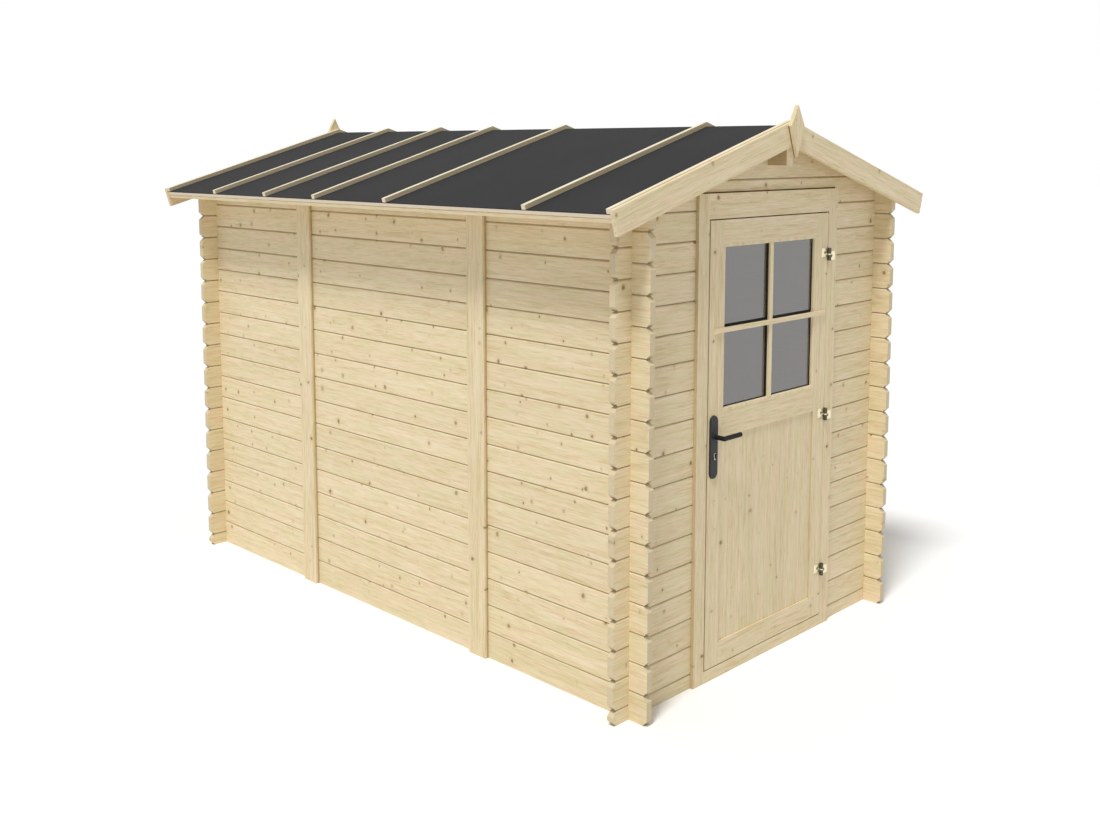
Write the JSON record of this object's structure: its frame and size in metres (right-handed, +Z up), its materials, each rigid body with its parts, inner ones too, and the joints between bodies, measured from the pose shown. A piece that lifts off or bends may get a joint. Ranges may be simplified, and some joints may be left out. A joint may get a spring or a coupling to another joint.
{
  "type": "garden shed",
  "caption": "Small garden shed of interlocking logs with a low felt-covered gable roof and a half-glazed outward-opening door in the front gable.",
  "frame": {"origin": "on the ground, under the middle of the shed", "axes": "+X to the right seen from the door, -Y out of the front gable with the door, +Z up"},
  "size_m": [2.1498, 3.1588, 2.2881],
  "materials": {
    "log_pine": "planed, untreated",
    "trim_pine": "planed, untreated",
    "door_pine": "planed, untreated",
    "roofing_felt": "matte, sanded",
    "pane_glass": "clear",
    "zinc_hinge": "yellow zinc",
    "handle_black": "matte"
  },
  "bodies": {
    "shed": {"left_wall_front_logs": "log_pine", "left_wall_middle_logs": "log_pine", "left_wall_rear_logs": "log_pine", "right_wall_front_logs": "log_pine", "right_wall_middle_logs": "log_pine", "right_wall_rear_logs": "log_pine", "front_wall_left_logs": "log_pine", "front_wall_right_logs": "log_pine", "front_gable_logs": "log_pine", "rear_wall_logs": "log_pine", "rear_gable_logs": "log_pine", "left_outer_battens": "trim_pine", "left_inner_battens": "trim_pine", "right_outer_battens": "trim_pine", "right_inner_battens": "trim_pine", "ridge_purlin": "trim_pine", "roof_boards_left": "trim_pine", "roof_boards_right": "trim_pine", "eave_batten_left": "trim_pine", "eave_batten_right": "trim_pine", "roof_laths_left": "trim_pine", "roof_laths_right": "trim_pine", "front_bargeboard_left": "trim_pine", "front_bargeboard_right": "trim_pine", "rear_bargeboard_left": "trim_pine", "rear_bargeboard_right": "trim_pine", "front_finial": "trim_pine", "rear_finial": "trim_pine", "roof_felt": "roofing_felt", "door_jamb_left": "door_pine", "door_jamb_right": "door_pine", "door_head": "door_pine", "door_sill": "door_pine", "frame_hinge_leaves": "zinc_hinge"},
    "door": {"door_stiles": "door_pine", "door_rails": "door_pine", "door_panel": "door_pine", "door_glass": "pane_glass", "glazing_beads": "door_pine", "door_hinge_leaves": "zinc_hinge", "outer_handle_plate": "handle_black", "inner_handle_plate": "handle_black"},
    "lever": {"door_lever": "handle_black"}
  },
  "joints": [
    {"name": "door_swing", "type": "hinge", "parent": "shed", "child": "door", "pos_m": [0.41775, -1.4782, 0.962], "axis": [0, 0, 1], "range_deg": [0, 160]},
    {"name": "lever_turn", "type": "hinge", "parent": "door", "child": "lever", "pos_m": [-0.3815, -1.452, 0.998], "axis": [0, 1, 0], "range_deg": [0, 40], "stiffness_Nm_per_rad": 1, "springref_deg": -34.38}
  ]
}
